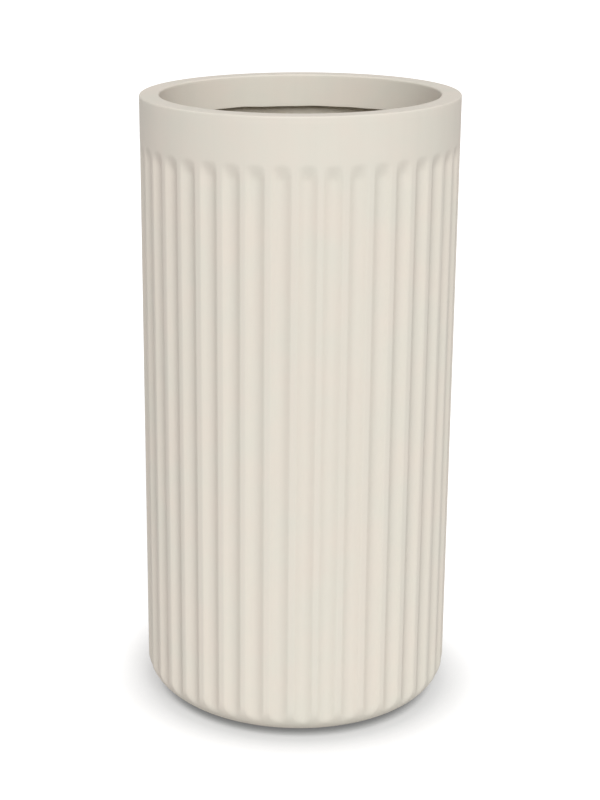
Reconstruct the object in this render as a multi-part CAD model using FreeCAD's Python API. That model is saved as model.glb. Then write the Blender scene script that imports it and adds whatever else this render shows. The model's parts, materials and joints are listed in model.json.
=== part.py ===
import FreeCAD, Part
import math
import os

os.makedirs("parts", exist_ok=True)

# Tall round floor planter in fibreglass, in millimetres. +Z is up, and the origin is the
# centre of the standing face, on the ground. The front is towards -Y.

# Overall
BODY_DIAMETER = 400.0
BODY_HEIGHT = 794.0

# Outer shell: skin thickness at the lands, standing flange and edge rounding at the lip
SHELL_WALL = 8.0
FLANGE_THICKNESS = 8.0
FLANGE_WIDTH = 36.0
OUTER_EDGE_ROUNDING = 2.3

# Rounded foot: a quarter ellipse from the wall to the standing face
FOOT_RADIAL = 54.0
FOOT_HEIGHT = 42.0

# Flutes: grooves with round tops, below a plain collar band, that run out on the curved foot
FLUTE_COUNT = 41
FLUTE_WIDTH = 22.0
FLUTE_DEPTH = 4.4
COLLAR_BAND = 53.0
FIRST_LAND_ANGLE = -91.5

# Glass-mat backing on the inside of the shell
LAMINATE_THICKNESS = 2.5

# Rim moulding: flat lip and return collar
LIP_WIDTH = 25.0
LIP_THICKNESS = 6.0
RETURN_DEPTH = 42.0
RETURN_THICKNESS = 4.0
INNER_EDGE_ROUNDING = 2.5
RIM_BOND_HEIGHT = 9.0

# Floor panel, its drain hole and the tape that joins it to the wall
FLOOR_THICKNESS = 6.0
FLOOR_EDGE_GAP = 0.5
DRAIN_HOLE_DIAMETER = 25.0
TABBING_REACH = 28.0
TABBING_THICKNESS = 2.5
TABBING_RISE = 12.0

# Rubber drain plug: tapered stem, flange and finger tab
PLUG_CLEARANCE = 0.3
PLUG_TAPER = 1.0
PLUG_STEM_BELOW_FLOOR = 2.0
PLUG_FLANGE_OVERLAP = 6.0
PLUG_FLANGE_THICKNESS = 3.0
TAB_HEIGHT = 15.0
TAB_WIDTH = 18.0
TAB_THICKNESS = 4.0
TAB_ROUNDING = 6.0

# Radii and levels that follow from the sizes above
BODY_RADIUS = BODY_DIAMETER / 2
SHELL_INNER = BODY_RADIUS - SHELL_WALL
LAMINATE_INNER = SHELL_INNER - LAMINATE_THICKNESS
STANDING_RADIUS = BODY_RADIUS - FOOT_RADIAL
FLANGE_INNER = STANDING_RADIUS - FLANGE_WIDTH
MOUTH_RADIUS = BODY_RADIUS - LIP_WIDTH
RETURN_OUTER = MOUTH_RADIUS + RETURN_THICKNESS
LIP_UNDERSIDE = BODY_HEIGHT - LIP_THICKNESS
FLOOR_UNDERSIDE = FLANGE_THICKNESS + LAMINATE_THICKNESS
FLOOR_TOP = FLOOR_UNDERSIDE + FLOOR_THICKNESS
FLOOR_RADIUS = STANDING_RADIUS - FLOOR_EDGE_GAP
DRAIN_HOLE_RADIUS = DRAIN_HOLE_DIAMETER / 2


def point(radius, height):
    """A point of a half section, in the plane through the axis."""
    return FreeCAD.Vector(radius, 0, height)


def line(start, end):
    """A straight edge of a half section."""
    return Part.LineSegment(start, end).toShape()


def quarter_curve(centre, side, end):
    """A quarter ellipse about a centre, between the side point and the end point."""
    long_first = (side - centre).Length >= (end - centre).Length
    first, second = (side, end) if long_first else (end, side)
    return Part.ArcOfEllipse(Part.Ellipse(first, second, centre), 0, math.pi / 2).toShape()


def turned(edges):
    """The solid that a closed half section sweeps in one full turn about the axis."""
    section = Part.Face(Part.Wire(Part.sortEdges(edges)[0]))
    return section.revolve(FreeCAD.Vector(), FreeCAD.Vector(0, 0, 1), 360)


def turned_outline(points):
    """A turned solid whose half section has straight sides."""
    closed = points + points[:1]
    return turned([line(a, b) for a, b in zip(closed, closed[1:])])


def foot_curve(wall_radius, base_level):
    """The foot's quarter ellipse between a wall radius and a base level."""
    centre = point(STANDING_RADIUS, FOOT_HEIGHT)
    return quarter_curve(centre, point(wall_radius, FOOT_HEIGHT), point(STANDING_RADIUS, base_level))


def flute_cutter():
    """One groove cutter with a round top, from the ground up, at angle zero."""
    radius = (FLUTE_WIDTH ** 2 / 4 + FLUTE_DEPTH ** 2) / (2 * FLUTE_DEPTH)
    distance = BODY_RADIUS - FLUTE_DEPTH + radius
    top = BODY_HEIGHT - COLLAR_BAND - FLUTE_WIDTH / 2
    shaft = Part.makeCylinder(radius, top, FreeCAD.Vector(distance, 0, 0))
    ball = Part.makeSphere(radius, FreeCAD.Vector(distance, 0, top))
    return shaft.fuse(ball).removeSplitter()


def outer_shell():
    """Fluted skin with the collar band, the rounded foot and the standing flange."""
    rounding = OUTER_EDGE_ROUNDING
    edge_centre = point(BODY_RADIUS - rounding, BODY_HEIGHT - rounding)
    edge_side = point(BODY_RADIUS, BODY_HEIGHT - rounding)
    edge_top = point(BODY_RADIUS - rounding, BODY_HEIGHT)
    skin = turned([
        foot_curve(BODY_RADIUS, 0),
        line(point(BODY_RADIUS, FOOT_HEIGHT), edge_side),
        quarter_curve(edge_centre, edge_side, edge_top),
        line(edge_top, point(SHELL_INNER, BODY_HEIGHT)),
        line(point(SHELL_INNER, BODY_HEIGHT), point(SHELL_INNER, FOOT_HEIGHT)),
        foot_curve(SHELL_INNER, FLANGE_THICKNESS),
        line(point(STANDING_RADIUS, FLANGE_THICKNESS), point(FLANGE_INNER, FLANGE_THICKNESS)),
        line(point(FLANGE_INNER, FLANGE_THICKNESS), point(FLANGE_INNER, 0)),
        line(point(FLANGE_INNER, 0), point(STANDING_RADIUS, 0)),
    ])
    cutter = flute_cutter()
    pitch = 360 / FLUTE_COUNT
    cutters = []
    for index in range(FLUTE_COUNT):
        angle = FIRST_LAND_ANGLE + (index + 0.5) * pitch
        turned_cutter = cutter.copy()
        turned_cutter.rotate(FreeCAD.Vector(), FreeCAD.Vector(0, 0, 1), angle)
        cutters.append(turned_cutter)
    return skin.cut(cutters)


def inner_laminate():
    """Glass-mat backing over the flange, round the foot and up to the lip."""
    return turned([
        foot_curve(SHELL_INNER, FLANGE_THICKNESS),
        line(point(SHELL_INNER, FOOT_HEIGHT), point(SHELL_INNER, LIP_UNDERSIDE)),
        line(point(SHELL_INNER, LIP_UNDERSIDE), point(LAMINATE_INNER, LIP_UNDERSIDE)),
        line(point(LAMINATE_INNER, LIP_UNDERSIDE), point(LAMINATE_INNER, FOOT_HEIGHT)),
        foot_curve(LAMINATE_INNER, FLOOR_UNDERSIDE),
        line(point(STANDING_RADIUS, FLOOR_UNDERSIDE), point(FLANGE_INNER, FLOOR_UNDERSIDE)),
        line(point(FLANGE_INNER, FLOOR_UNDERSIDE), point(FLANGE_INNER, FLANGE_THICKNESS)),
        line(point(FLANGE_INNER, FLANGE_THICKNESS), point(STANDING_RADIUS, FLANGE_THICKNESS)),
    ])


def rim_collar():
    """Flat lip, flush with the shell's top, and the return collar inside the mouth."""
    rounding = INNER_EDGE_ROUNDING
    edge_centre = point(MOUTH_RADIUS + rounding, BODY_HEIGHT - rounding)
    edge_side = point(MOUTH_RADIUS, BODY_HEIGHT - rounding)
    edge_top = point(MOUTH_RADIUS + rounding, BODY_HEIGHT)
    return_bottom = BODY_HEIGHT - RETURN_DEPTH
    return turned([
        quarter_curve(edge_centre, edge_side, edge_top),
        line(edge_top, point(SHELL_INNER, BODY_HEIGHT)),
        line(point(SHELL_INNER, BODY_HEIGHT), point(SHELL_INNER, LIP_UNDERSIDE)),
        line(point(SHELL_INNER, LIP_UNDERSIDE), point(RETURN_OUTER, LIP_UNDERSIDE)),
        line(point(RETURN_OUTER, LIP_UNDERSIDE), point(RETURN_OUTER, return_bottom)),
        line(point(RETURN_OUTER, return_bottom), point(MOUTH_RADIUS, return_bottom)),
        line(point(MOUTH_RADIUS, return_bottom), edge_side),
    ])


def rim_bond():
    """Bonding paste in the corner between the lip, the return collar and the wall."""
    lower = LIP_UNDERSIDE - RIM_BOND_HEIGHT
    return turned_outline([
        point(RETURN_OUTER, LIP_UNDERSIDE),
        point(LAMINATE_INNER, LIP_UNDERSIDE),
        point(LAMINATE_INNER, lower),
        point(RETURN_OUTER, lower),
    ])


def floor_panel():
    """Laminated disc over the standing flange, with the drain hole in its middle."""
    base = FreeCAD.Vector(0, 0, FLOOR_UNDERSIDE)
    disc = Part.makeCylinder(FLOOR_RADIUS, FLOOR_THICKNESS, base)
    hole = Part.makeCylinder(DRAIN_HOLE_RADIUS, FLOOR_THICKNESS, base)
    return disc.cut(hole)


def floor_tabbing():
    """Glass tape and resin fillet over the joint of the floor panel and the curved wall."""
    tape = turned_outline([
        point(FLOOR_RADIUS - TABBING_REACH, FLOOR_TOP),
        point(FLOOR_RADIUS, FLOOR_TOP),
        point(FLOOR_RADIUS, FLOOR_UNDERSIDE),
        point(LAMINATE_INNER, FLOOR_UNDERSIDE),
        point(LAMINATE_INNER, FLOOR_TOP + TABBING_RISE),
        point(FLOOR_RADIUS, FLOOR_TOP + TABBING_THICKNESS),
        point(FLOOR_RADIUS - TABBING_REACH, FLOOR_TOP + TABBING_THICKNESS),
    ])
    space_in_foot = turned([
        foot_curve(LAMINATE_INNER, FLOOR_UNDERSIDE),
        line(point(LAMINATE_INNER, FOOT_HEIGHT), point(0, FOOT_HEIGHT)),
        line(point(0, FOOT_HEIGHT), point(0, FLOOR_UNDERSIDE)),
        line(point(0, FLOOR_UNDERSIDE), point(STANDING_RADIUS, FLOOR_UNDERSIDE)),
    ])
    return tape.common(space_in_foot)


def drain_plug():
    """Rubber bung: tapered stem in the drain hole, flange on the floor and a finger tab."""
    stem_radius = DRAIN_HOLE_RADIUS - PLUG_CLEARANCE
    flange_radius = DRAIN_HOLE_RADIUS + PLUG_FLANGE_OVERLAP
    stem_bottom = FLOOR_UNDERSIDE - PLUG_STEM_BELOW_FLOOR
    flange_top = FLOOR_TOP + PLUG_FLANGE_THICKNESS
    bung = turned_outline([
        point(0, stem_bottom),
        point(stem_radius - PLUG_TAPER, stem_bottom),
        point(stem_radius, FLOOR_TOP),
        point(flange_radius, FLOOR_TOP),
        point(flange_radius, flange_top),
        point(0, flange_top),
    ])
    corner = FreeCAD.Vector(-TAB_WIDTH / 2, -TAB_THICKNESS / 2, flange_top)
    tab = Part.makeBox(TAB_WIDTH, TAB_THICKNESS, TAB_HEIGHT, corner)
    across_top = [
        edge for edge in tab.Edges
        if edge.BoundBox.YLength > TAB_THICKNESS / 2 and edge.BoundBox.ZMin > flange_top
    ]
    rounded_tab = tab.makeFillet(TAB_ROUNDING, across_top)
    return bung.fuse(rounded_tab).removeSplitter()


SUBPARTS = {
    "outer_shell": outer_shell,
    "inner_laminate": inner_laminate,
    "rim_collar": rim_collar,
    "rim_bond": rim_bond,
    "floor_panel": floor_panel,
    "floor_tabbing": floor_tabbing,
    "drain_plug": drain_plug,
}

for name, make in SUBPARTS.items():
    shape = make()
    shape.exportStep("parts/" + name + ".step")
    print(name, len(shape.Solids), shape.isValid(), round(shape.Volume), shape.BoundBox)
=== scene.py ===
import json
import math

import bmesh
import bpy
import numpy as np
from mathutils import Matrix, Vector

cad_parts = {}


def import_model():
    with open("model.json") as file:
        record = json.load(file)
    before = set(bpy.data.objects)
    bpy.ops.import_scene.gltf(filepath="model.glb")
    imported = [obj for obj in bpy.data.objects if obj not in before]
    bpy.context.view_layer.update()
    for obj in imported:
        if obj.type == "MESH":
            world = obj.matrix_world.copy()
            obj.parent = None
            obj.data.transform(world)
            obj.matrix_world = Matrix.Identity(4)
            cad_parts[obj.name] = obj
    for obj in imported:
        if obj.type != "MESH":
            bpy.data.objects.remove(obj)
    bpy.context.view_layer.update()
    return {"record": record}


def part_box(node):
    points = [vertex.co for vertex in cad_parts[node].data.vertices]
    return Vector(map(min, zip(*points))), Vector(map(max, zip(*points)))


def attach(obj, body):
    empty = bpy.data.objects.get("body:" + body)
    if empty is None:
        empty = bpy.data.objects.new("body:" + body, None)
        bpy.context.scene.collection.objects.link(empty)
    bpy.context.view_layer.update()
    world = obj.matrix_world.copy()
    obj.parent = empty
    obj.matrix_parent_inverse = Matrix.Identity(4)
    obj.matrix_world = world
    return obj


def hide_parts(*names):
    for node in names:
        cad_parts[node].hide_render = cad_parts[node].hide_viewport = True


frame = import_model()

# Tall fluted fibreglass planter, in metres. +Z is up and the front is towards -Y.
# Sizes that the frame holds are read from it; the others are given here.
BODY_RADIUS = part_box("outer_shell")[1].y
BODY_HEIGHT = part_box("outer_shell")[1].z
SHELL_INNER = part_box("rim_collar")[1].x
RETURN_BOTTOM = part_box("rim_collar")[0].z
MOUTH_RADIUS = next(m["dims"]["r_mm"] for m in frame["record"]["mounts"] if m["kind"] == "bore") / 1000
LIP_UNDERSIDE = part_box("inner_laminate")[1].z
FLANGE_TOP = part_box("inner_laminate")[0].z
FLOOR_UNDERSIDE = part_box("floor_panel")[0].z
FLOOR_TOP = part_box("floor_panel")[1].z
FLOOR_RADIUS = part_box("floor_panel")[1].x
TAPE_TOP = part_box("floor_tabbing")[1].z
PASTE_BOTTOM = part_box("rim_bond")[0].z
LINING_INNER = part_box("rim_bond")[1].x
PLUG_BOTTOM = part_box("drain_plug")[0].z
PLUG_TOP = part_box("drain_plug")[1].z
PLUG_FLANGE_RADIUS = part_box("drain_plug")[1].x

# Moulding details
FLANGE_WIDTH = 0.036
FOOT_RADIAL = 0.054
FOOT_HEIGHT = 0.042
OUTER_EDGE_ROUNDING = 0.0023
INNER_EDGE_ROUNDING = 0.0025
RETURN_THICKNESS = 0.004
TRIM_ROUNDING = 0.0007
TRIM_WANDER = 0.0007
STANDING_RADIUS = BODY_RADIUS - FOOT_RADIAL
FLANGE_INNER = STANDING_RADIUS - FLANGE_WIDTH
RETURN_OUTER = MOUTH_RADIUS + RETURN_THICKNESS

# Flutes, with the scatter that a hand-made mould leaves
FLUTE_COUNT = 41
FLUTE_WIDTH = 0.022
FLUTE_DEPTH = 0.0044
COLLAR_BAND = 0.053
FIRST_LAND_ANGLE = math.radians(-91.5)
LAND_SOFTNESS = 0.0024
TOP_FADE = 0.024
PITCH_SCATTER = 0.012
WIDTH_SCATTER = 0.0003
TOP_SCATTER = 0.0004

# Fineness of the fluted mesh: columns crowd at the flutes' edges, and rows round their tops
COLUMNS_PER_FLUTE = 20
EDGE_CROWDING = 2.5
CROWDED_SHARE = 0.06
TOP_REACH = 0.034
TOP_MARGIN = 0.004

# Hand-laid inside
LINING_LUMPS = 0.0004
FLOOR_LUMPS = 0.0003
LUMP_SPACING = 0.030
FOOT_MARGIN = 0.03
PLUG_MARGIN = 0.001
FLOOR_LUMPS_FROM = 0.032
TAPE_MARGIN = 0.004
TAPE_REACH = 0.028
TAPE_EDGE = 0.0007
TAPE_INNER_WANDER = 0.0011
TAPE_TOP_WANDER = 0.03
TAPE_LUMPS = 0.00025
TAPE_LUMP_SPACING = 0.022
FILLET_OUT = 0.0065
FILLET_UP = 0.0016
WALL_MARGIN = 0.006
PASTE_DROOP = 0.0009
PASTE_HOLLOW = 0.0016
DRAIN_HOLE_RADIUS = 0.0125
HOLE_ROUNDING = 0.0008

# Plug
STEM_RADIUS = 0.0121
STEM_TAPER = 0.0010
STEM_ROUNDING = 0.0012
PLUG_FLANGE_THICKNESS = 0.003
PLUG_BEVEL = 0.0009
GROOVE_INSET = 0.0030
GROOVE_WIDTH = 0.0022
GROOVE_DEPTH = 0.0006
TAB_WIDTH = 0.018
TAB_THICKNESS = 0.004
TAB_ROUNDING = 0.006
TAB_EDGE = 0.0009
RUBBER_VOXEL = 0.0004

random = np.random.RandomState(7)


# ---------------------------------------------------------------- mesh helpers

def turned_mesh(name, radii, heights, angles):
    """A closed ring-shaped mesh from a closed section: one row a section point, one column an angle."""
    rows, columns = radii.shape
    points = np.stack([radii * np.cos(angles), radii * np.sin(angles), heights], axis=-1)
    row, column = np.meshgrid(np.arange(rows), np.arange(columns), indexing="ij")
    next_row, next_column = (row + 1) % rows, (column + 1) % columns
    corners = [row * columns + column, row * columns + next_column,
               next_row * columns + next_column, next_row * columns + column]
    faces = np.stack(corners, axis=-1).reshape(-1, 4)
    mesh = bpy.data.meshes.new(name)
    mesh.from_pydata(points.reshape(-1, 3).tolist(), [], faces.tolist())
    mesh.shade_smooth()
    mesh.set_sharp_from_angle(angle=math.radians(50))
    piece = bpy.data.objects.new(name, mesh)
    bpy.context.scene.collection.objects.link(piece)
    return piece


def around(count):
    """Evenly spaced angles of one full turn."""
    return np.linspace(0, 2 * math.pi, count, endpoint=False)


def spread(section, angles):
    """A section's points at every angle, as radii and heights."""
    radii = np.repeat(section[:, :1], len(angles), axis=1)
    heights = np.repeat(section[:, 1:], len(angles), axis=1)
    return radii, heights


def straight(start, end, count):
    """Evenly spaced section points from start up to, but not with, end."""
    share = np.linspace(0, 1, count, endpoint=False)[:, None]
    return np.array(start) * (1 - share) + np.array(end) * share


def quarter(centre, start, end, count):
    """Section points on a quarter ellipse from start up to, but not with, end."""
    turn = np.linspace(0, math.pi / 2, count, endpoint=False)[:, None]
    centre, start, end = np.array(centre), np.array(start), np.array(end)
    return centre + (start - centre) * np.cos(turn) + (end - centre) * np.sin(turn)


def smooth_step(low, high, value):
    """0 below low, 1 above high, with a soft change between them."""
    share = np.clip((value - low) / (high - low), 0, 1)
    return share * share * (3 - 2 * share)


def wander(angles, size, waves):
    """A smooth, slightly irregular closed wave round the body, as hand finishing leaves."""
    total = np.zeros_like(angles)
    for wave in waves:
        total += random.normal() * np.cos(wave * angles + random.uniform(0, 2 * math.pi))
    return size * total / math.sqrt(len(waves))


def lumps(angles, along, size, finest):
    """An uneven hand-laid surface: many random waves, round the body and along its section."""
    total = np.zeros(np.broadcast(angles, along).shape)
    count = 48
    for _ in range(count):
        turns = random.randint(1, round(2 * math.pi * BODY_RADIUS / finest))
        lean = random.normal(0, 2 / finest)
        phase = random.uniform(0, 2 * math.pi)
        total += np.cos(turns * angles + lean * along + phase)
    return size * total / math.sqrt(count / 2)


def smooth_least(first, second, softness):
    """The smaller of two radii, rounded where they cross."""
    blend = np.clip(0.5 + 0.5 * (second - first) / softness, 0, 1)
    return second * (1 - blend) + first * blend - softness * blend * (1 - blend)


# ---------------------------------------------------------------- fluted shell

def flute_layout():
    """Each column's angle, its angle from its own flute's centre, and that flute's number."""
    pitch = 2 * math.pi / FLUTE_COUNT
    centres = FIRST_LAND_ANGLE + (np.arange(FLUTE_COUNT) + 0.5) * pitch
    centres += random.normal(0, PITCH_SCATTER, FLUTE_COUNT) * pitch
    next_centres = np.append(centres[1:], centres[0] + 2 * math.pi)
    rights = (centres + next_centres) / 2
    lefts = np.append(rights[-1] - 2 * math.pi, rights[:-1])
    edge = FLUTE_WIDTH / 2 / (pitch * BODY_RADIUS)
    fine = np.linspace(-0.5, 0.5, 2001)
    weight = 1 + EDGE_CROWDING * np.exp(-((np.abs(fine) - edge) / CROWDED_SHARE) ** 2)
    travel = np.cumsum(weight)
    travel = (travel - travel[0]) / (travel[-1] - travel[0])
    shares = np.interp(np.linspace(0, 1, COLUMNS_PER_FLUTE, endpoint=False), travel, fine)
    angles, offsets, flutes = [], [], []
    for index, (left, centre, right) in enumerate(zip(lefts, centres, rights)):
        local = np.where(shares < 0, shares * 2 * (centre - left), shares * 2 * (right - centre))
        angles.append(centre + local)
        offsets.append(local)
        flutes.append(np.full(COLUMNS_PER_FLUTE, index))
    return np.concatenate(angles), np.concatenate(offsets), np.concatenate(flutes)


def flute_surface(offsets, flutes, heights):
    """Radius of the groove surface at each column and height, and its fading in below its round top."""
    width = FLUTE_WIDTH + random.normal(0, WIDTH_SCATTER, FLUTE_COUNT)[flutes]
    cutter = (width ** 2 / 4 + FLUTE_DEPTH ** 2) / (2 * FLUTE_DEPTH)
    distance = BODY_RADIUS - FLUTE_DEPTH + cutter
    top = BODY_HEIGHT - COLLAR_BAND - width / 2 + random.normal(0, TOP_SCATTER, FLUTE_COUNT)[flutes]
    beyond = np.maximum(0, heights - top)
    inside = cutter ** 2 - beyond ** 2 - (distance * np.sin(offsets)) ** 2
    reach = np.sign(inside) * np.sqrt(np.abs(inside))
    fade = smooth_step(0, TOP_FADE, top + width / 2 - heights)
    return distance * np.cos(offsets) - reach, fade


def fluted_shell():
    """The outer skin: standing flange, rounded foot, fluted wall, collar band and top edge."""
    rounding = OUTER_EDGE_ROUNDING
    angles, offsets, flutes = flute_layout()
    flute_top = BODY_HEIGHT - COLLAR_BAND
    outside = np.concatenate([
        quarter((STANDING_RADIUS, FOOT_HEIGHT), (STANDING_RADIUS, 0), (BODY_RADIUS, FOOT_HEIGHT), 40),
        straight((BODY_RADIUS, FOOT_HEIGHT), (BODY_RADIUS, flute_top - TOP_REACH), 8),
        straight((BODY_RADIUS, flute_top - TOP_REACH), (BODY_RADIUS, flute_top + TOP_MARGIN), 36),
        straight((BODY_RADIUS, flute_top + TOP_MARGIN), (BODY_RADIUS, BODY_HEIGHT - rounding), 5),
    ])
    edge = quarter((BODY_RADIUS - rounding, BODY_HEIGHT - rounding), (BODY_RADIUS, BODY_HEIGHT - rounding),
                   (BODY_RADIUS - rounding, BODY_HEIGHT), 7)
    inside = np.concatenate([
        straight((BODY_RADIUS - rounding, BODY_HEIGHT), (SHELL_INNER, BODY_HEIGHT), 3),
        straight((SHELL_INNER, BODY_HEIGHT), (SHELL_INNER, FOOT_HEIGHT), 3),
        quarter((STANDING_RADIUS, FOOT_HEIGHT), (SHELL_INNER, FOOT_HEIGHT), (STANDING_RADIUS, FLANGE_TOP), 8),
        straight((STANDING_RADIUS, FLANGE_TOP), (FLANGE_INNER, FLANGE_TOP), 2),
        straight((FLANGE_INNER, FLANGE_TOP), (FLANGE_INNER, 0), 2),
        straight((FLANGE_INNER, 0), (STANDING_RADIUS, 0), 3),
    ])
    radii, heights = spread(np.concatenate([outside, edge, inside]), angles)
    grooves, fade = flute_surface(offsets[None, :], flutes[None, :], heights[:len(outside)])
    plain = radii[:len(outside)]
    radii[:len(outside)] = plain + fade * (smooth_least(plain, grooves, LAND_SOFTNESS) - plain)
    # How deep each point sits in its groove, which the gelcoat uses to paint shade in the flutes.
    hollow = np.zeros_like(radii)
    hollow[:len(outside)] = np.clip((plain - radii[:len(outside)]) / FLUTE_DEPTH, 0, 1)
    piece = turned_mesh("fluted_shell", radii, heights, angles)
    mark = piece.data.attributes.new("hollow", "FLOAT", "POINT")
    mark.data.foreach_set("value", hollow.astype(np.float32).ravel())
    return piece


# ---------------------------------------------------------------- rim and inside

def lip_and_return():
    """Flat lip and the return collar in the mouth, its lower edge trimmed by hand."""
    rounding = INNER_EDGE_ROUNDING
    angles = around(480)
    section = np.concatenate([
        straight((SHELL_INNER, LIP_UNDERSIDE), (SHELL_INNER, BODY_HEIGHT), 2),
        straight((SHELL_INNER, BODY_HEIGHT), (MOUTH_RADIUS + rounding, BODY_HEIGHT), 6),
        quarter((MOUTH_RADIUS + rounding, BODY_HEIGHT - rounding), (MOUTH_RADIUS + rounding, BODY_HEIGHT),
                (MOUTH_RADIUS, BODY_HEIGHT - rounding), 9),
        straight((MOUTH_RADIUS, BODY_HEIGHT - rounding), (MOUTH_RADIUS, RETURN_BOTTOM + TRIM_ROUNDING), 14),
        quarter((MOUTH_RADIUS + TRIM_ROUNDING, RETURN_BOTTOM + TRIM_ROUNDING),
                (MOUTH_RADIUS, RETURN_BOTTOM + TRIM_ROUNDING),
                (MOUTH_RADIUS + TRIM_ROUNDING, RETURN_BOTTOM), 4),
        straight((MOUTH_RADIUS + TRIM_ROUNDING, RETURN_BOTTOM), (RETURN_OUTER, RETURN_BOTTOM), 2),
        straight((RETURN_OUTER, RETURN_BOTTOM), (RETURN_OUTER, LIP_UNDERSIDE), 6),
        straight((RETURN_OUTER, LIP_UNDERSIDE), (SHELL_INNER, LIP_UNDERSIDE), 2),
    ])
    radii, heights = spread(section, angles)
    trim = wander(angles, TRIM_WANDER, (2, 3, 5, 7, 11, 16, 23))
    share = np.clip((BODY_HEIGHT - heights) / (BODY_HEIGHT - RETURN_BOTTOM), 0, 1)
    heights += trim * share ** 3
    return turned_mesh("lip_and_return", radii, heights, angles)


def foot_inside(turn):
    """The lining's inner surface in the foot: 0 at the flange and a quarter turn at the wall."""
    radius = STANDING_RADIUS + (LINING_INNER - STANDING_RADIUS) * np.sin(turn)
    height = FOOT_HEIGHT - (FOOT_HEIGHT - FLOOR_UNDERSIDE) * np.cos(turn)
    return radius, height


def glass_mat_lining():
    """Uneven glass-mat backing on the inside of the wall, the foot and the flange."""
    angles = around(420)
    outer = np.concatenate([
        straight((FLANGE_INNER, FLANGE_TOP), (STANDING_RADIUS, FLANGE_TOP), 2),
        quarter((STANDING_RADIUS, FOOT_HEIGHT), (STANDING_RADIUS, FLANGE_TOP),
                (SHELL_INNER, FOOT_HEIGHT), 10),
        straight((SHELL_INNER, FOOT_HEIGHT), (SHELL_INNER, LIP_UNDERSIDE), 4),
        straight((SHELL_INNER, LIP_UNDERSIDE), (LINING_INNER, LIP_UNDERSIDE), 1),
    ])
    wall = straight((LINING_INNER, LIP_UNDERSIDE), (LINING_INNER, FOOT_HEIGHT), 150)
    under = np.concatenate([
        quarter((STANDING_RADIUS, FOOT_HEIGHT), (LINING_INNER, FOOT_HEIGHT),
                (STANDING_RADIUS, FLOOR_UNDERSIDE), 14),
        straight((STANDING_RADIUS, FLOOR_UNDERSIDE), (FLANGE_INNER, FLOOR_UNDERSIDE), 3),
    ])
    radii, heights = spread(np.concatenate([outer, wall, under]), angles)
    rows = slice(len(outer), len(outer) + len(wall))
    calm = smooth_step(FOOT_HEIGHT, FOOT_HEIGHT + FOOT_MARGIN, heights[rows])
    radii[rows] += calm * lumps(angles[None, :], heights[rows], LINING_LUMPS, LUMP_SPACING)
    return turned_mesh("glass_mat_lining", radii, heights, angles)


def floor_board():
    """Laminated floor disc with a rounded drain hole, uneven between the hole and the tape."""
    angles = around(240)
    hole, rounding = DRAIN_HOLE_RADIUS, HOLE_ROUNDING
    section = np.concatenate([
        straight((hole, FLOOR_UNDERSIDE + rounding), (hole, FLOOR_TOP - rounding), 4),
        quarter((hole + rounding, FLOOR_TOP - rounding), (hole, FLOOR_TOP - rounding),
                (hole + rounding, FLOOR_TOP), 5),
        straight((hole + rounding, FLOOR_TOP), (FLOOR_RADIUS, FLOOR_TOP), 64),
        straight((FLOOR_RADIUS, FLOOR_TOP), (FLOOR_RADIUS, FLOOR_UNDERSIDE), 3),
        straight((FLOOR_RADIUS, FLOOR_UNDERSIDE), (hole + rounding, FLOOR_UNDERSIDE), 40),
        quarter((hole + rounding, FLOOR_UNDERSIDE + rounding), (hole + rounding, FLOOR_UNDERSIDE),
                (hole, FLOOR_UNDERSIDE + rounding), 5),
    ])
    radii, heights = spread(section, angles)
    tape_start = FLOOR_RADIUS - TAPE_REACH
    free = smooth_step(PLUG_FLANGE_RADIUS + PLUG_MARGIN, FLOOR_LUMPS_FROM, radii)
    free *= 1 - smooth_step(tape_start - TAPE_MARGIN, tape_start + TAPE_MARGIN, radii)
    heights += free * lumps(angles[None, :], radii, FLOOR_LUMPS, LUMP_SPACING)
    return turned_mesh("floor_board", radii, heights, angles)


def floor_tape():
    """Glass tape over a putty fillet, from the floor board's edge up the curved wall."""
    face_rows = 34
    angles = around(480)
    inner = FLOOR_RADIUS - TAPE_REACH + wander(angles, TAPE_INNER_WANDER, (2, 3, 5, 8, 13, 21, 34))
    rise = (FOOT_HEIGHT - TAPE_TOP) / (FOOT_HEIGHT - FLOOR_UNDERSIDE)
    highest = math.acos(rise) + wander(angles, TAPE_TOP_WANDER, (2, 3, 4, 7, 12, 19, 31))
    level = np.ones_like(angles)
    rows = [(inner, FLOOR_TOP * level), (FLOOR_RADIUS * level, FLOOR_TOP * level),
            (FLOOR_RADIUS * level, FLOOR_UNDERSIDE * level)]
    rows += [foot_inside(highest * share) for share in np.linspace(0, 1, 14)]
    wall_radius, wall_height = rows[-1]
    edge_radius = wall_radius - TAPE_EDGE * np.sin(highest)
    edge_height = wall_height + TAPE_EDGE * np.cos(highest)
    bend_radius = FLOOR_RADIUS + FILLET_OUT
    bend_height = FLOOR_TOP + FILLET_UP
    for share in np.linspace(0, 1, face_rows):
        before, middle, after = (1 - share) ** 2, 2 * share * (1 - share), share ** 2
        rows.append((before * edge_radius + middle * bend_radius + after * inner,
                     before * edge_height + middle * bend_height + after * (FLOOR_TOP + TAPE_EDGE)))
    radii, heights = np.array([row[0] for row in rows]), np.array([row[1] for row in rows])
    face = slice(len(rows) - face_rows, len(rows))
    calm = smooth_step(0, WALL_MARGIN, wall_radius - radii[face])
    heights[face] += calm * lumps(angles[None, :], radii[face], TAPE_LUMPS, TAPE_LUMP_SPACING)
    return turned_mesh("floor_tape", radii, heights, angles)


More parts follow.
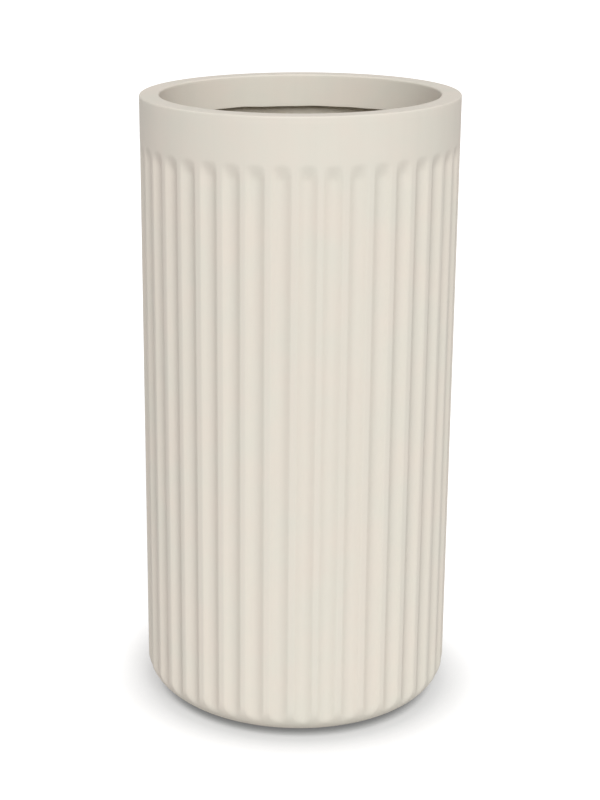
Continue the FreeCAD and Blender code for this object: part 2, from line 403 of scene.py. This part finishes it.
def paste_bead():
    """Bonding paste squeezed out between the return collar and the wall, smeared by a finger."""
    angles = around(480)
    level = np.ones_like(angles)
    droop = wander(angles, PASTE_DROOP, (2, 3, 5, 9, 14, 22, 35, 51))
    gap = LINING_INNER - RETURN_OUTER
    rows = [(RETURN_OUTER * level, LIP_UNDERSIDE * level), (LINING_INNER * level, LIP_UNDERSIDE * level)]
    for share in np.linspace(0, 1, 16):
        hollow = PASTE_HOLLOW * math.sin(math.pi * share)
        lean = droop * (1 + 0.5 * math.cos(math.pi * share))
        rows.append(((LINING_INNER - gap * share) * level, PASTE_BOTTOM + hollow + lean))
    radii, heights = np.array([row[0] for row in rows]), np.array([row[1] for row in rows])
    return turned_mesh("paste_bead", radii, heights, angles)


# ---------------------------------------------------------------- plug

def bung_body():
    """The plug's turned body: tapered stem with a rounded end, and a bevelled flange with a ring groove."""
    stem_end = STEM_RADIUS - STEM_TAPER
    flange_top = FLOOR_TOP + PLUG_FLANGE_THICKNESS
    bevel = PLUG_BEVEL
    groove = PLUG_FLANGE_RADIUS - GROOVE_INSET
    section = np.array([
        (0, PLUG_BOTTOM),
        (stem_end - STEM_ROUNDING, PLUG_BOTTOM),
        (stem_end - STEM_ROUNDING / 3, PLUG_BOTTOM + STEM_ROUNDING / 4),
        (stem_end, PLUG_BOTTOM + STEM_ROUNDING),
        (STEM_RADIUS, FLOOR_TOP),
        (PLUG_FLANGE_RADIUS - bevel / 3, FLOOR_TOP),
        (PLUG_FLANGE_RADIUS, FLOOR_TOP + bevel / 3),
        (PLUG_FLANGE_RADIUS, flange_top - bevel),
        (PLUG_FLANGE_RADIUS - bevel, flange_top),
        (groove, flange_top),
        (groove - GROOVE_DEPTH, flange_top - GROOVE_DEPTH),
        (groove - GROOVE_WIDTH + GROOVE_DEPTH, flange_top - GROOVE_DEPTH),
        (groove - GROOVE_WIDTH, flange_top),
        (0, flange_top),
    ])
    angles = around(160)
    body = turned_mesh("bung_body", *spread(section, angles), angles)
    work = bmesh.new()
    work.from_mesh(body.data)
    bmesh.ops.remove_doubles(work, verts=work.verts, dist=1e-6)
    return body, work


def finger_tab(work):
    """Adds the upright finger tab: a flat tongue with rounded top corners and softened edges."""
    root = FLOOR_TOP + PLUG_FLANGE_THICKNESS / 2
    side, corner = TAB_WIDTH / 2, TAB_ROUNDING
    turns = np.linspace(0, math.pi / 2, 9)
    right = [(side - corner + corner * math.cos(turn), PLUG_TOP - corner + corner * math.sin(turn))
             for turn in turns]
    left = [(-x, z) for x, z in reversed(right)]
    outline = [(side, root)] + right + left + [(-side, root)]
    front = [work.verts.new((x, -TAB_THICKNESS / 2, z)) for x, z in outline]
    back = [work.verts.new((x, TAB_THICKNESS / 2, z)) for x, z in outline]
    faces = [work.faces.new(front), work.faces.new(list(reversed(back)))]
    for index in range(len(outline)):
        following = (index + 1) % len(outline)
        faces.append(work.faces.new((front[following], front[index], back[index], back[following])))
    rims = set(faces[0].edges) | set(faces[1].edges)
    bmesh.ops.bevel(work, geom=list(rims), offset=TAB_EDGE, segments=3, profile=0.5, affect="EDGES")


def drain_bung():
    """The rubber plug as one moulded skin, with a small fillet where the tab meets the flange."""
    body, work = bung_body()
    finger_tab(work)
    bmesh.ops.recalc_face_normals(work, faces=work.faces)
    work.to_mesh(body.data)
    work.free()
    remesh = body.modifiers.new("skin", "REMESH")
    remesh.mode = "VOXEL"
    remesh.voxel_size = RUBBER_VOXEL
    remesh.use_smooth_shade = True
    soften = body.modifiers.new("soften", "SMOOTH")
    soften.factor = 0.5
    soften.iterations = 3
    made = bpy.data.meshes.new_from_object(body.evaluated_get(bpy.context.evaluated_depsgraph_get()))
    bpy.data.objects.remove(body)
    made.name = "drain_bung"
    piece = bpy.data.objects.new("drain_bung", made)
    bpy.context.scene.collection.objects.link(piece)
    return piece


# ---------------------------------------------------------------- materials

def new_material(name):
    """An empty node material with its shader, and a helper that adds and links nodes."""
    material = bpy.data.materials.new(name)
    material.use_nodes = True
    tree = material.node_tree
    shader = tree.nodes["Principled BSDF"]

    def add(kind, inputs=None, **settings):
        node = tree.nodes.new(kind)
        for key, value in settings.items():
            setattr(node, key, value)
        for key, value in (inputs or {}).items():
            if isinstance(value, bpy.types.NodeSocket):
                tree.links.new(value, node.inputs[key])
            else:
                node.inputs[key].default_value = value
        return node

    return material, tree, shader, add


def blended(add, factor, first, second):
    """A colour between two others; each is a socket or a plain linear colour."""
    plain = [value if isinstance(value, bpy.types.NodeSocket) else (*value, 1) for value in (first, second)]
    node = add("ShaderNodeMix", {"Factor": factor}, data_type="RGBA")
    for key, value in zip(("A", "B"), plain):
        if isinstance(value, bpy.types.NodeSocket):
            node.id_data.links.new(value, node.inputs[key])
        else:
            node.inputs[key].default_value = value
    return node.outputs["Result"]


def ranged(add, value, low, high, start, end):
    """A value carried from one range to another, and held at its ends."""
    node = add("ShaderNodeMapRange", {"Value": value, "From Min": low, "From Max": high,
                                      "To Min": start, "To Max": end})
    return node.outputs["Result"]


def maths(add, operation, *values):
    """One arithmetic step on sockets and plain numbers."""
    return add("ShaderNodeMath", dict(enumerate(values)), operation=operation).outputs["Value"]


def noise(add, place, scale, detail=3.0):
    """Plain noise at a scale in waves a metre."""
    return add("ShaderNodeTexNoise", {"Vector": place, "Scale": scale, "Detail": detail}).outputs["Fac"]


def fibres(add, place, directions, length, width):
    """Thin short strands lying in several directions, as a value from 0 to 1."""
    size = (1 / length, 1 / width, 1 / width)
    strands = None
    for turn in directions:
        lie = add("ShaderNodeMapping", {"Vector": place, "Rotation": turn, "Scale": size}).outputs["Vector"]
        streak = ranged(add, noise(add, lie, 1.0, 1.0), 0.60, 0.72, 0.0, 1.0)
        if strands is None:
            strands = streak
        else:
            strands = maths(add, "MAXIMUM", strands, streak)
    return strands


MAT_DIRECTIONS = [(0.0, 0.3, 0.2), (0.9, 0.1, 1.3), (0.2, 1.4, 0.5), (1.2, 0.7, 2.2), (0.5, 1.0, 2.9)]


def gelcoat():
    """Matt ivory gelcoat with faint patches and streaks, painted shade in the flute hollows and a scuffed
    foot.
    """
    material, tree, shader, add = new_material("gelcoat")
    place = add("ShaderNodeTexCoord").outputs["Object"]
    patches = noise(add, place, 16.0, 4.0)
    tall = add("ShaderNodeMapping", {"Vector": place, "Scale": (1.0, 1.0, 0.05)}).outputs["Vector"]
    tone = blended(add, ranged(add, patches, 0.35, 0.65, 0, 1), (0.784, 0.719, 0.638), (0.761, 0.723, 0.642))
    streaks = ranged(add, noise(add, tall, 60.0), 0.40, 0.75, 0.0, 0.06)
    streaked = blended(add, streaks, tone, (0.60, 0.56, 0.49))
    specks = ranged(add, noise(add, place, 700.0, 2.0), 0.66, 0.74, 0.0, 0.07)
    specked = blended(add, specks, streaked, (0.46, 0.42, 0.35))
    hollow = add("ShaderNodeAttribute", attribute_name="hollow").outputs["Fac"]
    # Painted shade: the flute hollows are darkened in colour by their depth.
    shaded_flutes = blended(add, ranged(add, hollow, 0.3, 1.0, 0.0, 0.03), specked, (0.50, 0.45, 0.37))
    level = add("ShaderNodeSeparateXYZ", {"Vector": place}).outputs["Z"]
    low = ranged(add, level, 0.030, 0.0, 0.0, 1.0)
    scuffs = ranged(add, noise(add, place, 90.0, 5.0), 0.50, 0.72, 0.0, 0.28)
    colour = blended(add, maths(add, "MULTIPLY", low, scuffs), shaded_flutes, (0.47, 0.42, 0.35))
    tree.links.new(colour, shader.inputs["Base Color"])
    tree.links.new(ranged(add, patches, 0.3, 0.7, 0.56, 0.68), shader.inputs["Roughness"])
    fine = add("ShaderNodeBump", {"Height": noise(add, place, 320.0), "Strength": 0.10, "Distance": 0.0003})
    broad = add("ShaderNodeBump", {"Height": noise(add, place, 24.0, 2.0), "Strength": 0.2,
                                   "Distance": 0.0010, "Normal": fine.outputs["Normal"]})
    tree.links.new(broad.outputs["Normal"], shader.inputs["Normal"])
    shader.inputs["Specular IOR Level"].default_value = 0.12
    return material


def raw_laminate():
    """Cured chopped-strand glass mat: pale warm grey resin with short crossing strands just showing."""
    material, tree, shader, add = new_material("raw_laminate")
    place = add("ShaderNodeTexCoord").outputs["Object"]
    cloud = noise(add, place, 18.0, 4.0)
    strands = fibres(add, place, MAT_DIRECTIONS, 0.045, 0.0012)
    tone = blended(add, ranged(add, cloud, 0.35, 0.65, 0, 1), (0.54, 0.485, 0.395), (0.63, 0.580, 0.490))
    colour = blended(add, ranged(add, strands, 0, 1, 0.0, 0.40), tone, (0.74, 0.70, 0.62))
    tree.links.new(colour, shader.inputs["Base Color"])
    tree.links.new(ranged(add, cloud, 0.3, 0.7, 0.42, 0.62), shader.inputs["Roughness"])
    bump = add("ShaderNodeBump", {"Height": strands, "Strength": 0.35, "Distance": 0.0005})
    wave = add("ShaderNodeBump", {"Height": cloud, "Strength": 0.3, "Distance": 0.0020,
                                  "Normal": bump.outputs["Normal"]})
    tree.links.new(wave.outputs["Normal"], shader.inputs["Normal"])
    return material


def resin_tape():
    """Woven glass tape wetted with resin: a fine weave round and across the joint, glossier and darker."""
    material, tree, shader, add = new_material("resin_tape")
    place = add("ShaderNodeTexCoord").outputs["Object"]
    turn = add("ShaderNodeTexGradient", {"Vector": place}, gradient_type="RADIAL").outputs["Fac"]
    flat = add("ShaderNodeVectorMath", {0: place, 1: (1.0, 1.0, 0.0)}, operation="MULTIPLY").outputs["Vector"]
    reach = add("ShaderNodeVectorMath", {0: flat}, operation="LENGTH").outputs["Value"]
    yarns_round = 300
    yarn_spacing = 0.0032
    across = maths(add, "SINE", maths(add, "MULTIPLY", turn, 2 * math.pi * yarns_round))
    along = maths(add, "SINE", maths(add, "MULTIPLY", reach, 2 * math.pi / yarn_spacing))
    weave = maths(add, "MULTIPLY", across, along)
    cloud = noise(add, place, 45.0, 4.0)
    tone = blended(add, ranged(add, cloud, 0.35, 0.65, 0, 1), (0.47, 0.425, 0.330), (0.57, 0.530, 0.430))
    colour = blended(add, ranged(add, weave, -1, 1, 0.0, 0.30), tone, (0.68, 0.65, 0.56))
    tree.links.new(colour, shader.inputs["Base Color"])
    tree.links.new(ranged(add, cloud, 0.3, 0.7, 0.25, 0.48), shader.inputs["Roughness"])
    bump = add("ShaderNodeBump", {"Height": weave, "Strength": 0.4, "Distance": 0.0004})
    tree.links.new(bump.outputs["Normal"], shader.inputs["Normal"])
    return material


def bonding_paste():
    """Cured filler paste: beige, matt, with trowel drag and pin holes darkened with painted shade."""
    material, tree, shader, add = new_material("bonding_paste")
    place = add("ShaderNodeTexCoord").outputs["Object"]
    drag = add("ShaderNodeMapping", {"Vector": place, "Scale": (1.0, 1.0, 6.0)}).outputs["Vector"]
    cloud = noise(add, drag, 60.0, 4.0)
    pits = ranged(add, add("ShaderNodeTexVoronoi", {"Vector": place, "Scale": 420.0}).outputs["Distance"],
                  0.10, 0.22, 1.0, 0.0)
    tone = blended(add, ranged(add, cloud, 0.35, 0.65, 0, 1), (0.52, 0.455, 0.355), (0.60, 0.545, 0.440))
    # Painted shade: the pin holes are darker in colour as well as sunk by the bump.
    colour = blended(add, ranged(add, pits, 0, 1, 0.0, 0.5), tone, (0.30, 0.25, 0.19))
    tree.links.new(colour, shader.inputs["Base Color"])
    tree.links.new(ranged(add, cloud, 0.3, 0.7, 0.62, 0.80), shader.inputs["Roughness"])
    holes = add("ShaderNodeBump", {"Height": pits, "Strength": 0.5, "Distance": 0.0005}, invert=True)
    bump = add("ShaderNodeBump", {"Height": cloud, "Strength": 0.4, "Distance": 0.0010,
                                  "Normal": holes.outputs["Normal"]})
    tree.links.new(bump.outputs["Normal"], shader.inputs["Normal"])
    return material


def plug_rubber():
    """Matt black moulded rubber with a faint grey bloom and dust."""
    material, tree, shader, add = new_material("plug_rubber")
    place = add("ShaderNodeTexCoord").outputs["Object"]
    bloom = noise(add, place, 120.0, 4.0)
    grain = noise(add, place, 1500.0, 2.0)
    tone = blended(add, ranged(add, bloom, 0.35, 0.70, 0, 1), (0.018, 0.018, 0.018), (0.050, 0.049, 0.046))
    colour = blended(add, ranged(add, grain, 0.66, 0.76, 0.0, 0.35), tone, (0.20, 0.19, 0.17))
    tree.links.new(colour, shader.inputs["Base Color"])
    tree.links.new(ranged(add, bloom, 0.3, 0.7, 0.55, 0.78), shader.inputs["Roughness"])
    bump = add("ShaderNodeBump", {"Height": grain, "Strength": 0.15, "Distance": 0.0002})
    tree.links.new(bump.outputs["Normal"], shader.inputs["Normal"])
    return material


# ---------------------------------------------------------------- stage

CAMERA_PLACE = Vector((0, -2.2535, 1.1030))
CAMERA_PITCH = math.radians(-17.497)
CAMERA_YAW = math.radians(-3.100)
CAMERA_ROLL = math.radians(-0.418)
FOCAL_LENGTH = 81.00
SIDE_SHIFT = 0.12

SURROUNDINGS = 0.485
FILL_TINT = (1.02, 0.99, 0.99)
KEY_TINT = (0.985, 1.01, 1.0)
FLOOR_ALBEDO = 0.55
FLOOR_SEEN = 0.68
FLOOR_GLOW = 0.65
FLOOR_MIRRORED = 1.15
# Reach and strength of the painted contact shadow on the floor.
CONTACT_REACH = 0.095
CONTACT_SHADE = 0.38
CONTACT_CORE = 0.40
RING_OPENNESS = (0.5, 1.0)
CORE_OPENNESS = (0.15, 0.35)
GROUND_HALF = 12.0


def camera():
    """The photograph's view: a little above the rim, with the framing moved sideways."""
    data = bpy.data.cameras.new("camera")
    data.lens = FOCAL_LENGTH
    data.sensor_width = 36
    data.shift_x = SIDE_SHIFT
    data.clip_end = 100
    item = bpy.data.objects.new("camera", data)
    turn = Matrix.Rotation(-CAMERA_YAW, 4, "Z") @ Matrix.Rotation(math.pi / 2 + CAMERA_PITCH, 4, "X")
    item.matrix_world = Matrix.Translation(CAMERA_PLACE) @ turn @ Matrix.Rotation(CAMERA_ROLL, 4, "Z")
    bpy.context.scene.collection.objects.link(item)
    bpy.context.scene.camera = item


def soft_light(name, side, rise, width, strength, tint):
    """A distant soft source. Side is its turn from the front towards the right, in degrees."""
    data = bpy.data.lights.new(name, "SUN")
    data.energy = strength * math.pi
    data.color = tint
    data.angle = math.radians(width)
    item = bpy.data.objects.new(name, data)
    turn, lift = math.radians(side), math.radians(rise)
    towards = Vector((math.sin(turn) * math.cos(lift), -math.cos(turn) * math.cos(lift), math.sin(lift)))
    item.rotation_euler = towards.to_track_quat("Z", "Y").to_euler()
    bpy.context.scene.collection.objects.link(item)


def world():
    """Even surroundings: plain white to the camera and in reflections, dimmer and a trace warm as a light."""
    item = bpy.data.worlds.new("surroundings")
    bpy.context.scene.world = item
    item.use_nodes = True
    tree = item.node_tree
    path = tree.nodes.new("ShaderNodeLightPath")
    seen = path.outputs["Is Camera Ray"]
    for kind in ("Is Glossy Ray", "Is Transmission Ray"):
        either = tree.nodes.new("ShaderNodeMath")
        either.operation = "MAXIMUM"
        tree.links.new(seen, either.inputs[0])
        tree.links.new(path.outputs[kind], either.inputs[1])
        seen = either.outputs["Value"]
    shown = tree.nodes.new("ShaderNodeMix")
    shown.data_type = "RGBA"
    shown.inputs["A"].default_value = (*(SURROUNDINGS * part for part in FILL_TINT), 1)
    shown.inputs["B"].default_value = (1, 1, 1, 1)
    tree.links.new(seen, shown.inputs["Factor"])
    tree.links.new(shown.outputs["Result"], tree.nodes["Background"].inputs["Color"])


def ground():
    """A pale floor that looks white to the camera and in reflections, and holds the shadow, with a painted
    contact shadow round the base.
    """
    mesh = bpy.data.meshes.new("ground")
    half = GROUND_HALF
    corners = [(-half, -half, 0), (half, -half, 0), (half, half, 0), (-half, half, 0)]
    mesh.from_pydata(corners, [], [(0, 1, 2, 3)])
    item = bpy.data.objects.new("ground", mesh)
    bpy.context.scene.collection.objects.link(item)
    material, tree, shader, add = new_material("ground")
    path = add("ShaderNodeLightPath").outputs
    seen = path["Is Camera Ray"]
    mirrored = maths(add, "MAXIMUM", path["Is Glossy Ray"], path["Is Transmission Ray"])
    in_mirror = maths(add, "MULTIPLY_ADD", mirrored, FLOOR_MIRRORED - FLOOR_ALBEDO, FLOOR_ALBEDO)
    # Painted shadow: an occlusion node darkens the floor round the base, for the camera only.
    open_sky = add("ShaderNodeAmbientOcclusion", {"Distance": CONTACT_REACH}, samples=16).outputs["AO"]
    ring = ranged(add, open_sky, *RING_OPENNESS, 1 - CONTACT_SHADE, 1.0)
    core = ranged(add, open_sky, *CORE_OPENNESS, CONTACT_CORE, 0.0)
    shown = maths(add, "MULTIPLY", maths(add, "SUBTRACT", ring, core), seen)
    hidden = maths(add, "MULTIPLY", maths(add, "SUBTRACT", 1.0, seen), in_mirror)
    tone = maths(add, "MULTIPLY_ADD", shown, FLOOR_SEEN, hidden)
    plain = add("ShaderNodeBsdfDiffuse", {"Color": tone})
    bright = add("ShaderNodeEmission", {"Strength": maths(add, "MULTIPLY", shown, FLOOR_GLOW)})
    both = add("ShaderNodeAddShader", {0: plain.outputs["BSDF"], 1: bright.outputs["Emission"]})
    tree.links.new(both.outputs["Shader"], tree.nodes["Material Output"].inputs["Surface"])
    tree.nodes.remove(shader)
    mesh.materials.append(material)


# ---------------------------------------------------------------- assembly

def build():
    """Every piece with its body, the node that it stands for, its material and its slot."""
    coat, laminate = gelcoat(), raw_laminate()
    for piece, node, body, material, slot in (
        (fluted_shell(), "outer_shell", "planter", coat, "gelcoat"),
        (lip_and_return(), "rim_collar", "planter", coat, "gelcoat"),
        (glass_mat_lining(), "inner_laminate", "planter", laminate, "raw_laminate"),
        (floor_board(), "floor_panel", "planter", laminate, "raw_laminate"),
        (floor_tape(), "floor_tabbing", "planter", resin_tape(), "resin_tape"),
        (paste_bead(), "rim_bond", "planter", bonding_paste(), "bonding_paste"),
        (drain_bung(), "drain_plug", "plug", plug_rubber(), "plug_rubber"),
    ):
        piece.data.materials.clear()
        piece.data.materials.append(material)
        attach(piece, body)
        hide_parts(node)


build()
ground()
world()
soft_light("key", side=10, rise=30, width=35, strength=0.62, tint=KEY_TINT)
soft_light("left_fill", side=-110, rise=20, width=60, strength=0.10, tint=FILL_TINT)
camera()
bpy.context.scene.view_settings.view_transform = "Standard"
